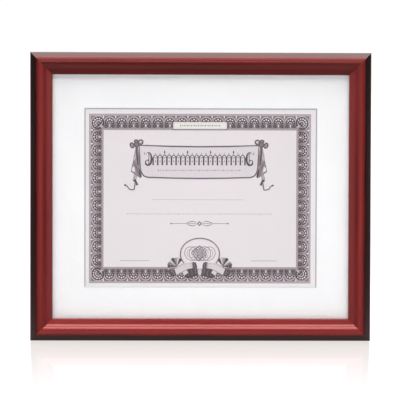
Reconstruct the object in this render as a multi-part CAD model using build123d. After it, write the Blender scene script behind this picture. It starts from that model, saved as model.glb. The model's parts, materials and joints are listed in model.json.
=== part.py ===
from build123d import *
from math import cos, radians, sin, tan
import os

# Certificate frame. Four mitred rails hold a glazed and matted certificate, and the frame
# leans back on an easel strut that is hinged to its back board.
# It is modelled upright first: X runs across, Y from front to back with the rails' back faces
# at zero, and Z up from the outer edge of the bottom rail. It is leaned back at the end.

# Certificate and mat
sheet_width = 279.4
sheet_height = 215.9
sheet_thickness = 0.25
window_overlap_side = 2.5
window_overlap_end = 2.0
mat_border_side = 42.05
mat_border_end = 42.55
mat_thickness = 1.5

# Glass, boards, and the play of the whole package in the rebate
glass_thickness = 2.0
filler_thickness = 2.75
board_thickness = 3.0
package_play = 3.0

# Moulding section, measured inward from the outer edge and forward from the back
rail_face = 26.0
rail_lip = 6.0
outer_wall = 8.9
arris_radius = 5.1
outer_bevel = 5.0
crown_line = 12.6
steep_line = 16.8
hollow_line = 20.0
sight_round = 0.8
bevel_slope = radians(45)
steep_slope = radians(50)
panel_slope = radians(11)

# Bent nails that pin the mitres
nail_leg = 4.5
nail_sheet = 0.5
nail_depth = 7.0
nail_spread = 62.0
mitre_angle = 45.0
nail_place_shares = (0.24, 0.6)

# Turn buttons and their screws
button_width = 10.0
button_tip_width = 7.0
button_reach = 20.0
button_sheet = 1.0
button_gap = 0.05
button_play = 0.08
button_place_share = 0.25
button_screw_radius = 1.5
button_screw_length = 12.0
button_head_radius = 2.9
button_head_height = 1.9

# Easel
lean = 12.0
strut_opening = 22.0
pin_height = 236.0
strut_thickness = 3.0
strut_top_width = 44.0
strut_foot_width = 96.0
strut_corner = 6.0
strut_top_gap = 0.6

# Easel hinge
pin_radius = 1.2
pin_play = 0.05
pin_head_radius = 1.9
pin_head_length = 0.9
leaf_sheet = 0.8
leaf_width = 34.0
leaf_length = 34.0
leaf_corner = 3.0
moving_knuckle = 16.0
knuckle_gap = 0.3
barrel_gap = 0.15
tab_width = 12.0
tab_length = 9.0
stop_gap = 0.05
rivet_radius = 1.5
rivet_head_radius = 3.0
rivet_head_height = 1.1
rivet_tail_radius = 2.6
rivet_tail_height = 0.8
rivet_spread = 20.0
rivet_near = 14.0
rivet_far = 28.0

# Wall hangers
hanger_gap = 17.0
strap_sheet = 0.8
strap_width = 12.0
strap_length = 39.0
ring_wire = 2.2
ring_play = 0.08
ring_side_gap = 0.2
ring_corner = 1.3
ring_leg = 5.0
hanger_lift = 0.02
hanger_screw_radius = 1.7
hanger_screw_length = 13.0
hanger_head_radius = 3.4
hanger_head_height = 2.2
hanger_screw_first = 19.0
hanger_screw_second = 32.0

# Wall bumpers
bumper_radius = 5.0
bumper_tip_radius = 4.0
bumper_height = 3.0
bumper_inset = 34.0

# Screw recesses, the fit of fixed shanks, and the overrun of every cut
recess_width = 0.9
recess_length_share = 1.2
recess_depth_share = 0.6
head_round_share = 0.6
fixed_fit = 0.02
overrun = 1.0

# Sizes that follow
window_width = sheet_width - 2 * window_overlap_side
window_height = sheet_height - 2 * window_overlap_end
panel_width = window_width + 2 * mat_border_side
panel_height = window_height + 2 * mat_border_end
back_face = rail_face - rail_lip
frame_width = panel_width + package_play + 2 * back_face
frame_height = panel_height + package_play + 2 * back_face
filler_front = board_thickness + filler_thickness
mat_back = filler_front + sheet_thickness
glass_back = mat_back + mat_thickness
stack_depth = glass_back + glass_thickness
panel_middle = back_face + panel_height / 2
button_line = back_face / 2
hanger_line = back_face / 2
hanger_height = frame_height / 2 + button_width / 2 + hanger_gap + strap_length
knuckle_radius = pin_radius + pin_play + leaf_sheet
pin_offset = knuckle_radius + barrel_gap
strut_outer = pin_offset + pin_radius + pin_play
strut_inner = strut_outer - strut_thickness
ring_radius = ring_wire / 2
strap_curl = ring_radius + ring_play + strap_sheet
ring_offset = strap_curl + hanger_lift
ring_half_width = strap_width / 2 + ring_side_gap + ring_corner


def turned_point(start, radius, slope_from, slope_to):
    # Where an arc ends once its slope has turned from one angle to another.
    # A positive radius is a round and a negative one a hollow.
    across = radius * (sin(slope_from) - sin(slope_to))
    forward = radius * (cos(slope_to) - cos(slope_from))
    return (start[0] + across, start[1] + forward)


def turned_arc(start, radius, slope_from, slope_to):
    middle = turned_point(start, radius, slope_from, (slope_from + slope_to) / 2)
    end = turned_point(start, radius, slope_from, slope_to)
    return ThreePointArc(start, middle, end), end


def slab(width, height, back, front):
    # A board of the package, between two distances forward of the back face.
    return Pos(0, -(back + front) / 2, panel_middle) * Box(width, front - back, height)


def rod(radius, length, x=0, y=0, z=0):
    # A round bar that lies along X.
    return Pos(x, y, z) * Rot(Y=90) * Cylinder(radius, length)


def stud(radius, start, end):
    # A round bar that lies along Y.
    return Pos(0, (start + end) / 2, 0) * Rot(X=90) * Cylinder(radius, end - start)


def plate(outline, start, end):
    # An outline drawn in X and Z, made solid between two places along Y.
    return Pos(0, start, 0) * extrude(Plane.XZ * outline, end - start, dir=(0, 1, 0))


def rail_section():
    # Across is the distance in from the outer edge, forward the distance from the back face.
    arris, arris_end = turned_arc((0, outer_wall), arris_radius, radians(90), bevel_slope)
    bevel_end = (arris_end[0] + outer_bevel, arris_end[1] + outer_bevel * tan(bevel_slope))
    outer_radius = (crown_line - bevel_end[0]) / sin(bevel_slope)
    outer_crown, crown = turned_arc(bevel_end, outer_radius, bevel_slope, 0)
    inner_radius = (steep_line - crown_line) / sin(steep_slope)
    inner_crown, steep = turned_arc(crown, inner_radius, 0, -steep_slope)
    hollow_radius = (hollow_line - steep_line) / (sin(steep_slope) - sin(panel_slope))
    hollow, panel_start = turned_arc(steep, -hollow_radius, -steep_slope, -panel_slope)
    panel_run = rail_face - hollow_line - sight_round * (1 - sin(panel_slope))
    panel_end = (panel_start[0] + panel_run, panel_start[1] - panel_run * tan(panel_slope))
    sight_edge, sight = turned_arc(panel_end, sight_round, -panel_slope, -radians(90))
    outline = Curve() + [
        Polyline((back_face, 0), (0, 0), (0, outer_wall)),
        arris,
        Line(arris_end, bevel_end),
        outer_crown,
        inner_crown,
        hollow,
        Line(panel_start, panel_end),
        sight_edge,
        Polyline(sight, (rail_face, stack_depth), (back_face, stack_depth), (back_face, 0)),
    ]
    return make_face(outline)


def blank_rail(length):
    # A rail that lies along X with its outer edge at Z zero, mitred at both ends.
    section_plane = Plane(origin=(-length / 2, 0, 0), x_dir=(0, 0, 1), z_dir=(1, 0, 0))
    bar = extrude(section_plane * rail_section(), length)
    reach = rail_face + overrun
    mitred = Polygon(
        (-length / 2, 0), (length / 2, 0), (length / 2 - reach, reach), (reach - length / 2, reach),
        align=None,
    )
    return bar & extrude(Plane.XZ * mitred, frame_width, both=True)


def corner_nails():
    # Two bent nails on each mitre, with one leg in either rail.
    leg = Pos(nail_leg / 2, 0) * Rectangle(nail_leg, nail_sheet)
    bent = Rot(Z=mitre_angle + nail_spread) * leg + Rot(Z=mitre_angle - nail_spread) * leg
    half_width = frame_width / 2
    corners = [(-half_width, 0, 0), (-half_width, frame_height, 90),
               (half_width, frame_height, 180), (half_width, 0, 270)]
    nails = []
    for x, z, turn in corners:
        for share in nail_place_shares:
            place = share * back_face
            nail = plate(Pos(place, place) * bent, -nail_depth, 0)
            nails.append(Pos(x, 0, z) * Rot(Y=turn) * nail)
    return nails


def pan_screw(radius, length, head_radius, head_height, fit=0):
    # A screw along Y whose head sits on Y zero. With a fit it is the hole that it needs.
    shank = stud(radius + fit, -length - fit, 0)
    if fit:
        return shank
    head = Cylinder(head_radius, head_height, align=(Align.CENTER, Align.CENTER, Align.MIN))
    rim = head.edges().sort_by(Axis.Z)[-1]
    head = fillet(rim, head_round_share * head_height)
    depth = recess_depth_share * head_height
    slot = Pos(0, 0, head_height - depth / 2) * Box(recess_length_share * head_radius, recess_width, depth)
    head = head - slot - Rot(Z=90) * slot
    return shank + Rot(X=-90) * head


def button_places():
    # Where each turn button is screwed on, and the turn that points it at the back board.
    side = button_place_share * frame_width
    return {
        "turn_button_bottom_left": (-side, button_line, 0),
        "turn_button_bottom_right": (side, button_line, 0),
        "turn_button_top_left": (-side, frame_height - button_line, 180),
        "turn_button_top_right": (side, frame_height - button_line, 180),
        "turn_button_left": (button_line - frame_width / 2, frame_height / 2, 90),
        "turn_button_right": (frame_width / 2 - button_line, frame_height / 2, -90),
    }


def turn_button():
    # A stamped plate that narrows from its screw to its tip.
    tip_radius = button_tip_width / 2
    heel = Circle(button_width / 2)
    tip = Pos(0, button_reach - tip_radius) * Circle(tip_radius)
    outline = make_hull(heel.edges() + tip.edges())
    blank = plate(outline, button_gap, button_gap + button_sheet)
    return blank - stud(button_screw_radius + button_play, -overrun, button_sheet + overrun)


def button_screw(fit=0):
    # The head stands clear of the button, so that the button can turn.
    seat = 2 * button_gap + button_sheet
    screw = pan_screw(button_screw_radius, button_screw_length, button_head_radius, button_head_height, fit)
    return Pos(0, seat, 0) * screw


def hanger_places():
    side = frame_width / 2 - hanger_line
    return {"left": -side, "right": side}


def hanger_screws(fit=0):
    # Two screws down one strap, below its curl.
    screw = pan_screw(hanger_screw_radius, hanger_screw_length, hanger_head_radius, hanger_head_height, fit)
    drops = (hanger_screw_first, hanger_screw_second)
    return [Pos(0, 2 * strap_sheet, hanger_height - drop) * screw for drop in drops]


def hanger_strap():
    # A folded strap that curls round the ring's straight leg, and ends in a round tail.
    tail_radius = strap_width / 2
    tail_z = hanger_height - strap_length + tail_radius
    body = Pos(0, (hanger_height + tail_z) / 2) * Rectangle(strap_width, hanger_height - tail_z)
    strap = plate(body + Pos(0, tail_z) * Circle(tail_radius), 0, 2 * strap_sheet)
    strap += rod(strap_curl, strap_width, y=ring_offset, z=hanger_height)
    strap -= rod(ring_radius + ring_play, strap_width + overrun, y=ring_offset, z=hanger_height)
    for hole in hanger_screws(fixed_fit):
        strap -= hole
    return strap


def hanger_ring():
    # A D of round wire that hangs straight down from its strap once the frame leans.
    side = ring_half_width
    bow_z = -ring_leg
    start = (ring_corner - side, 0)
    path = Curve() + [
        Line(start, (side - ring_corner, 0)),
        TangentArc((side - ring_corner, 0), (side, -ring_corner), tangent=(1, 0)),
        Line((side, -ring_corner), (side, bow_z)),
        ThreePointArc((side, bow_z), (0, bow_z - side), (-side, bow_z)),
        Line((-side, bow_z), (-side, -ring_corner)),
        TangentArc((-side, -ring_corner), start, tangent=(0, 1)),
    ]
    wire = Plane.XZ * Wire(path.edges())
    ring = sweep(Plane.YZ * Circle(ring_radius), path=wire)
    return Pos(0, ring_offset, hanger_height) * Rot(X=lean) * ring


def rivet(back, seat):
    # A headed rivet along Y, from a board's far face to the leaf that its head clamps.
    head = Cylinder(rivet_head_radius, rivet_head_height, align=(Align.CENTER, Align.CENTER, Align.MIN))
    rim = head.edges().sort_by(Axis.Z)[-1]
    head = Rot(X=-90) * fillet(rim, head_round_share * rivet_head_height)
    return (Pos(0, seat, 0) * head + stud(rivet_radius, back, seat)
            + stud(rivet_tail_radius, back, back + rivet_tail_height))


def rivet_hole(back, seat):
    # The hole for a rivet, with the sunk seat that takes its tail.
    return (stud(rivet_radius + fixed_fit, back - overrun, seat + overrun)
            + stud(rivet_tail_radius + fixed_fit, back - overrun, back + rivet_tail_height + fixed_fit))


def rivet_places(direction):
    # Two rivets beside the hinge pin and one beyond them, above it or below it.
    return [(-rivet_spread / 2, pin_height + direction * rivet_near),
            (rivet_spread / 2, pin_height + direction * rivet_near),
            (0, pin_height + direction * rivet_far)]


def at_places(shape, places):
    return [Pos(x, 0, z) * shape for x, z in places]


def leaf_outline(near, far, direction):
    # A leaf's plate, from beside the pin outward, with its far corners rounded.
    length = far - near
    outline = Pos(0, pin_height + direction * (near + far) / 2) * Rectangle(leaf_width, length)
    corners = outline.vertices().sort_by(Axis.Y)
    return fillet(corners[2:] if direction > 0 else corners[:2], leaf_corner)


def fixed_leaf():
    # It lies on the back board above the pin, and its two knuckles hold the pin's ends.
    leaf = plate(leaf_outline(0, leaf_length, 1), 0, leaf_sheet)
    leaf += rod(knuckle_radius, leaf_width, y=pin_offset, z=pin_height)
    notch_width = moving_knuckle + 2 * knuckle_gap
    notch_reach = knuckle_radius + knuckle_gap
    notch = Pos(0, pin_offset, pin_height) * Box(notch_width, 2 * notch_reach, 2 * notch_reach)
    leaf -= notch
    leaf -= rod(pin_radius + fixed_fit, leaf_width + overrun, y=pin_offset, z=pin_height)
    hole = rivet_hole(-board_thickness, leaf_sheet)
    for cut in at_places(hole, rivet_places(1)):
        leaf -= cut
    return leaf


def swing(shape, angle):
    # Turn a shape about the hinge pin. A positive angle opens the strut.
    to_pin = Pos(0, pin_offset, pin_height)
    return to_pin * Rot(X=angle) * to_pin.inverse() * shape


def moving_leaf():
    # It lies on the strut's outer face. Its tab meets the fixed leaf when the strut is open.
    clear = knuckle_radius + knuckle_gap
    wide = plate(leaf_outline(clear, leaf_length, -1), strut_outer, strut_outer + leaf_sheet)
    neck = Pos(0, pin_height - clear) * Rectangle(moving_knuckle, 2 * clear)
    neck = plate(neck, strut_outer, strut_outer + leaf_sheet)
    neck -= Pos(0, strut_outer, pin_height + clear) * Box(moving_knuckle, 2 * clear, 2 * clear)
    leaf = swing(wide + neck, strut_opening)
    leaf += rod(knuckle_radius, moving_knuckle, y=pin_offset, z=pin_height)
    tab = Pos(0, pin_height + tab_length / 2) * Rectangle(tab_width, tab_length)
    leaf += plate(tab, leaf_sheet + stop_gap, 2 * leaf_sheet + stop_gap)
    leaf -= rod(pin_radius + pin_play, moving_knuckle + overrun, y=pin_offset, z=pin_height)
    hole = rivet_hole(strut_inner, strut_outer + leaf_sheet)
    for cut in at_places(hole, rivet_places(-1)):
        leaf -= swing(cut, strut_opening)
    return leaf


def hinge_pin():
    pin = rod(pin_radius, leaf_width, y=pin_offset, z=pin_height)
    head_x = (leaf_width + pin_head_length) / 2
    for side in (-1, 1):
        pin += rod(pin_head_radius, pin_head_length, side * head_x, pin_offset, pin_height)
    return pin


def strut_drop(out):
    # How far below the pin the strut's foot meets the table, for a layer of the strut that
    # lies this far out from the pin. The foot is cut to stand flat once the strut is open.
    slant = radians(strut_opening - lean)
    pin_above_table = pin_height * cos(radians(lean)) - pin_offset * sin(radians(lean))
    return (pin_above_table + out * sin(slant)) / cos(slant)


def easel_strut():
    # A board that widens from the hinge to its foot, made closed and then swung open.
    top_z = pin_height - knuckle_radius - strut_top_gap
    inner_z = pin_height - strut_drop(strut_inner - pin_offset)
    outer_z = pin_height - strut_drop(strut_outer - pin_offset)
    foot_z = min(inner_z, outer_z)
    side = Polygon((strut_inner, top_z), (strut_outer, top_z), (strut_outer, outer_z),
                   (strut_inner, inner_z), align=None)
    board = extrude(Plane.YZ * side, strut_foot_width, both=True)
    outline = Polygon(
        (-strut_top_width / 2, top_z), (strut_top_width / 2, top_z),
        (strut_foot_width / 2, foot_z), (-strut_foot_width / 2, foot_z), align=None,
    )
    outline = fillet(outline.vertices().sort_by(Axis.Y)[2:], strut_corner)
    strut = board & plate(outline, strut_inner - overrun, strut_outer + overrun)
    hole = rivet_hole(strut_inner, strut_outer)
    for cut in at_places(hole, rivet_places(-1)):
        strut -= cut
    return swing(strut, strut_opening)


def drilled(rail, cuts):
    # The rail less those holes that lie in it.
    box = rail.bounding_box()
    for cut in cuts:
        hole = cut.bounding_box()
        meets_across = hole.min.X < box.max.X and hole.max.X > box.min.X
        meets_upward = hole.min.Z < box.max.Z and hole.max.Z > box.min.Z
        if meets_across and meets_upward:
            rail = rail - cut
    return rail


def rails():
    # The four rails, each turned from the bottom rail's place, with their screw and nail holes.
    middle = frame_height / 2
    bottom = blank_rail(frame_width)
    side = blank_rail(frame_height)
    blanks = {
        "rail_bottom": bottom,
        "rail_top": Pos(0, 0, frame_height) * Rot(Y=180) * bottom,
        "rail_left": Pos(-frame_width / 2, 0, middle) * Rot(Y=90) * side,
        "rail_right": Pos(frame_width / 2, 0, middle) * Rot(Y=-90) * side,
    }
    hole = button_screw(fixed_fit)
    cuts = [Pos(x, 0, z) * hole for x, z, turn in button_places().values()]
    for x in hanger_places().values():
        cuts += [Pos(x, 0, 0) * screw_hole for screw_hole in hanger_screws(fixed_fit)]
    cuts += corner_nails()
    return {name: drilled(blank, cuts) for name, blank in blanks.items()}


def window_mat():
    # The window is cut at 45 degrees, so it is wider at the front by the mat's own thickness.
    mat = slab(panel_width, panel_height, mat_back, glass_back)
    front = Plane.XZ * Rectangle(window_width, window_height)
    back = Plane.XZ * Rectangle(window_width - 2 * mat_thickness, window_height - 2 * mat_thickness)
    window = loft([
        Pos(0, -mat_back, panel_middle) * back,
        Pos(0, -glass_back, panel_middle) * front,
    ])
    return mat - window


def package():
    # Everything in the rebate rests on the bottom rail, so the play is all at the top.
    board = slab(panel_width, panel_height, 0, board_thickness)
    hole = rivet_hole(-board_thickness, 0)
    for cut in at_places(hole, rivet_places(1)):
        board -= cut
    return {
        "glass_pane": slab(panel_width, panel_height, glass_back, stack_depth),
        "window_mat": window_mat(),
        "certificate_sheet": slab(sheet_width, sheet_height, filler_front, mat_back),
        "filler_board": slab(panel_width, panel_height, board_thickness, filler_front),
        "back_board": board,
    }


def wall_bumpers():
    # Two soft pads on the lower corners of the back.
    bumpers = []
    for side in (-1, 1):
        pad = Cone(bumper_radius, bumper_tip_radius, bumper_height)
        place = Pos(side * (frame_width / 2 - bumper_inset), bumper_height / 2, button_line)
        bumpers.append(place * Rot(X=-90) * pad)
    return bumpers


def upright_parts():
    # Every node, as one solid or a list of separate solids, before the frame is leaned back.
    parts = rails()
    parts["corner_nails"] = corner_nails()
    parts.update(package())
    screws = []
    for name, (x, z, turn) in button_places().items():
        parts[name] = Pos(x, 0, z) * Rot(Y=turn) * turn_button()
        screws.append(Pos(x, 0, z) * button_screw())
    parts["turn_button_screws"] = screws
    parts["easel_strut"] = easel_strut()
    parts["hinge_fixed_leaf"] = fixed_leaf()
    parts["hinge_moving_leaf"] = moving_leaf()
    parts["hinge_pin"] = hinge_pin()
    parts["fixed_leaf_rivets"] = at_places(rivet(-board_thickness, leaf_sheet), rivet_places(1))
    strut_rivet = rivet(strut_inner, strut_outer + leaf_sheet)
    parts["strut_rivets"] = [swing(one, strut_opening) for one in at_places(strut_rivet, rivet_places(-1))]
    hanger_fixings = []
    for side, x in hanger_places().items():
        parts["hanger_strap_" + side] = Pos(x, 0, 0) * hanger_strap()
        parts["hanger_ring_" + side] = Pos(x, 0, 0) * hanger_ring()
        hanger_fixings += [Pos(x, 0, 0) * screw for screw in hanger_screws()]
    parts["hanger_screws"] = hanger_fixings
    parts["wall_bumpers"] = wall_bumpers()
    return parts


def print_places(stand):
    # The pivots in the finished frame, in millimetres.
    places = {"easel_hinge": (0, pin_offset, pin_height)}
    for side, x in hanger_places().items():
        places["ring_" + side] = (x, ring_offset, hanger_height)
    for name, (x, z, turn) in button_places().items():
        places[name] = (x, 0, z)
    for name, place in places.items():
        point = (stand * Pos(*place)).position
        print("pivot", name, round(point.X, 4), round(point.Y, 4), round(point.Z, 4))


def main():
    os.makedirs("parts", exist_ok=True)
    tilt = Rot(X=-lean)
    leaned = {}
    for name, shape in upright_parts().items():
        pieces = shape if isinstance(shape, list) else [shape]
        leaned[name] = [solid for piece in pieces for solid in (tilt * piece).solids()]
    reach = Compound([solid for solids in leaned.values() for solid in solids]).bounding_box()
    centre = Pos(0, -(reach.min.Y + reach.max.Y) / 2, 0)
    for name, solids in leaned.items():
        export_step(Compound([centre * solid for solid in solids]), "parts/" + name + ".step")
    print_places(centre * tilt)
    print("outside", round(reach.size.X, 3), round(reach.size.Y, 3), round(reach.size.Z, 3))


main()
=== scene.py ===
import bpy
import json
from math import cos, pi, radians, sin, tan
from mathutils import Matrix, Vector


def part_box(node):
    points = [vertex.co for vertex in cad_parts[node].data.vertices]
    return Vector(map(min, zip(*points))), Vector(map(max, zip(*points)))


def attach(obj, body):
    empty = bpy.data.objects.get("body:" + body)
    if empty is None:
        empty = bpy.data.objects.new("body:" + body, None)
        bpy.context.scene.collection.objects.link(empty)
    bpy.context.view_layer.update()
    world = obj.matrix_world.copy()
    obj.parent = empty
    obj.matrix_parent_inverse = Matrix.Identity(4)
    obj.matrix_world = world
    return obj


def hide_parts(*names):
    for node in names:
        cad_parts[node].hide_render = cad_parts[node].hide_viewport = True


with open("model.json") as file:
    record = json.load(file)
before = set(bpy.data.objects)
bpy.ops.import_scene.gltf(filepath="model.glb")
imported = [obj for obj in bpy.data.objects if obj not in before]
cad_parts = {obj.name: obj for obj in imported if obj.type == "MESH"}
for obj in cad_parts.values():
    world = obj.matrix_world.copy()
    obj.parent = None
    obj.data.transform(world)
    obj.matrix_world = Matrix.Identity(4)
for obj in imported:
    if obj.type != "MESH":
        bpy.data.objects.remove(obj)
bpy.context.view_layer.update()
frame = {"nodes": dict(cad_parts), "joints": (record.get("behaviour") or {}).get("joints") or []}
cad = frame["nodes"]
mm = 0.001

# The frame leans back: faceOut points at the viewer and upAlong up the face.
acrossX = Vector((1, 0, 0))
faceOut = -Vector(next(j["axis"] for j in frame["joints"] if j["name"] == "turn_button_left_pivot"))
upAlong = faceOut.cross(acrossX)
seatLine = min((v.co for v in cad["rail_bottom"].data.vertices), key=lambda p: p.z)
lowerBackEdge = Vector((0, seatLine.y, 0))
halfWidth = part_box("rail_bottom")[1].x / mm
frameWidth = 2 * halfWidth
frameHeight = max((v.co - lowerBackEdge).dot(upAlong) for v in cad["rail_top"].data.vertices) / mm
print("frame", round(frameWidth, 2), "by", round(frameHeight, 2), "mm")


def place(x, forward, up):
    # millimetres across, forward of the rails' backs, and up from the bottom edge
    return lowerBackEdge + Vector((x * mm, 0, 0)) + faceOut * (forward * mm) + upAlong * (up * mm)


def newObject(name, data):
    made = bpy.data.objects.new(name, data)
    bpy.context.scene.collection.objects.link(made)
    return made


# Camera, by the photograph: a little above and to the left of square on
cameraSetup = {
    "distance": 1.8,
    "above": radians(1.402),      # angle above the face's normal
    "leftward": radians(0.664),
    "roll": radians(0.148),
    "aim": (-0.79, 9.0, -3.68),   # mm from the middle of the frame
    "fieldWidth": 0.47160,        # metres across the image at the aim
    "sensor": 36.0,
}


def addCamera(setup):
    x, forward, up = setup["aim"]
    target = place(x, forward, frameHeight / 2 + up)
    away = (faceOut * cos(setup["above"]) * cos(setup["leftward"]) + upAlong * sin(setup["above"])
            - acrossX * sin(setup["leftward"]) * cos(setup["above"]))
    right = upAlong.cross(away).normalized()
    top = away.cross(right)
    turn = Matrix.Rotation(setup["roll"], 3, away)
    axes = Matrix((turn @ right, turn @ top, away)).transposed()
    data = bpy.data.cameras.new("camera")
    data.sensor_width = setup["sensor"]
    data.lens = setup["sensor"] * setup["distance"] / setup["fieldWidth"]
    camera = newObject("camera", data)
    camera.matrix_world = Matrix.Translation(target + away * setup["distance"]) @ axes.to_4x4()
    bpy.context.scene.camera = camera


addCamera(cameraSetup)
print("camera placed")


# Materials
def colour(red, green, blue):
    return (red, green, blue, 1.0)


def scaledColour(shade, factor):
    return colour(*(part * factor for part in shade))


def grey(level):
    return colour(level, level, level)


def newMaterial(name, **sockets):
    material = bpy.data.materials.new(name)
    material.use_nodes = True
    shader = material.node_tree.nodes["Principled BSDF"]
    for key, value in sockets.items():
        shader.inputs[key.replace("_", " ")].default_value = value
    return material, material.node_tree, shader


def feed(tree, socket, value):
    if isinstance(value, bpy.types.NodeSocket):
        tree.links.new(value, socket)
    else:
        socket.default_value = value


def addNode(tree, kind, inputs=None, **settings):
    made = tree.nodes.new("ShaderNode" + kind)
    for key, value in settings.items():
        setattr(made, key, value)
    for key, value in (inputs or {}).items():
        feed(tree, made.inputs[key], value)
    return made


def maths(tree, operation, first, second=0.0, **settings):
    return addNode(tree, "Math", {0: first, 1: second}, operation=operation, **settings).outputs[0]


def mixColour(tree, factor, first, second):
    return addNode(tree, "Mix", {0: factor, 6: first, 7: second}, data_type="RGBA").outputs[2]


def mapRange(tree, value, fromLow, fromHigh, toLow, toHigh, kind="LINEAR"):
    inputs = {"Value": value, "From Min": fromLow, "From Max": fromHigh, "To Min": toLow, "To Max": toHigh}
    return addNode(tree, "MapRange", inputs, interpolation_type=kind).outputs[0]


def mottle(tree, pattern, mix, first, second):
    # mix says where the pattern starts and ends to turn first into second, and how far it goes
    low, high, most = mix
    return mixColour(tree, mapRange(tree, pattern, low, high, 0.0, most), first, second)


def scaledNoise(tree, vector, stretch, scale, detail, roughness, distortion=0.0):
    moved = addNode(tree, "Mapping", {"Vector": vector, "Scale": stretch}).outputs[0]
    inputs = {"Vector": moved, "Scale": scale, "Detail": detail, "Roughness": roughness,
              "Distortion": distortion}
    return addNode(tree, "TexNoise", inputs).outputs[0]


def objectPlace(tree):
    return addNode(tree, "TexCoord").outputs["Object"]


def addBump(tree, shader, height, strength, distance, **normal):
    bump = addNode(tree, "Bump", {"Height": height, "Strength": strength, "Distance": distance, **normal})
    feed(tree, shader.inputs["Normal"], bump.outputs[0])


even = (1, 1, 1)                  # a noise that isn't stretched


def mottledMaterial(name, f, first, second, **sockets):
    # two tints that one noise mixes; it gives the relief too, where there is any
    material, tree, shader = newMaterial(name, Roughness=f["roughness"], **sockets)
    pattern = scaledNoise(tree, objectPlace(tree), *f["noise"])
    feed(tree, shader.inputs["Base Color"], mottle(tree, pattern, f["mix"], first, second))
    if "relief" in f:
        addBump(tree, shader, pattern, *f["relief"])
    return material, tree, shader, pattern


# Moulding: the section in millimetres, inward from the outer edge and forward from the back
moulding = {
    "face": 26.5,
    "lip": 6.5,
    "rebate": 9.5,
    "outerWall": 8.9,
    "arrisRadius": 5.1,
    "outerBevel": 4.6,
    "crownLine": 13.4,
    "steepLine": 17.7,
    "hollowLine": 20.9,
    "sightRound": 0.8,
    "bevelSlope": radians(45),
    "steepSlope": radians(50),
    "panelSlope": radians(11),
    "arcStep": radians(3.5),
    "sightStep": radians(14),
    "backRound": 0.4,
    "mitreGroove": 0.1,           # depth of the hairline at each mitre
    "mitreGrooveWidth": 0.16,
    "stations": 12,
    "sharpFrom": radians(24),     # edges that turn more are shaded sharp
    "slack": 0.01,
}


def arcPoints(start, radius, slopeFrom, slopeTo, step):
    # a positive radius is a round, a negative one a hollow
    count = max(2, round(abs(slopeTo - slopeFrom) / step))
    points = []
    for i in range(1, count + 1):
        slope = slopeFrom + (slopeTo - slopeFrom) * i / count
        points.append((start[0] + radius * (sin(slopeFrom) - sin(slope)),
                       start[1] + radius * (cos(slope) - cos(slopeFrom))))
    return points


def mouldingSection(m):
    step = m["arcStep"]
    points = [(m["backRound"], 0.0), (0.0, m["backRound"]), (0.0, m["outerWall"])]
    points += arcPoints(points[-1], m["arrisRadius"], radians(90), m["bevelSlope"], step)
    start = points[-1]
    points.append((start[0] + m["outerBevel"], start[1] + m["outerBevel"] * tan(m["bevelSlope"])))
    outerRadius = (m["crownLine"] - points[-1][0]) / sin(m["bevelSlope"])
    points += arcPoints(points[-1], outerRadius, m["bevelSlope"], 0, step)
    innerRadius = (m["steepLine"] - m["crownLine"]) / sin(m["steepSlope"])
    points += arcPoints(points[-1], innerRadius, 0, -m["steepSlope"], step)
    hollowRadius = (m["hollowLine"] - m["steepLine"]) / (sin(m["steepSlope"]) - sin(m["panelSlope"]))
    points += arcPoints(points[-1], -hollowRadius, -m["steepSlope"], -m["panelSlope"], step)
    run = m["face"] - m["hollowLine"] - m["sightRound"] * (1 - sin(m["panelSlope"]))
    points.append((points[-1][0] + run, points[-1][1] - run * tan(m["panelSlope"])))
    points += arcPoints(points[-1], m["sightRound"], -m["panelSlope"], -radians(90), m["sightStep"])
    inner = m["face"] - m["lip"]
    return points + [(m["face"], m["rebate"]), (inner, m["rebate"]), (inner, 0.0)]


def drawnIn(points, amount):
    # the closed outline drawn in by the same amount all round, with a limit at sharp corners
    leastShare = 0.5
    drawn = []
    for i, point in enumerate(points):
        before, after = Vector(points[i - 1]), Vector(points[(i + 1) % len(points)])
        here = Vector(point)
        one, two = (here - before).normalized(), (after - here).normalized()
        middle = (one + two).normalized()
        normal = Vector((middle.y, -middle.x))
        drawn.append(tuple(here + normal * amount / max(leastShare, abs(middle.dot(one)))))
    return drawn


def addObject(name, vertices, faces, materials, finishes=None):
    mesh = bpy.data.meshes.new(name)
    mesh.from_pydata(vertices, [], faces)
    if finishes:
        mesh.polygons.foreach_set("material_index", finishes)
    mesh.update()
    piece = newObject(name, mesh)
    for material in materials:
        mesh.materials.append(material)
    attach(piece, "frame")
    return piece


fourCorners = ((-1, -1), (1, -1), (1, 1), (-1, 1))


def ringFaces(first, count, turned=False):
    # quads between a closed ring of points and the next one
    sides = [(first + i, first + (i + 1) % count, first + count + (i + 1) % count, first + count + i)
             for i in range(count)]
    return [face[::-1] for face in sides] if turned else sides


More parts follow.
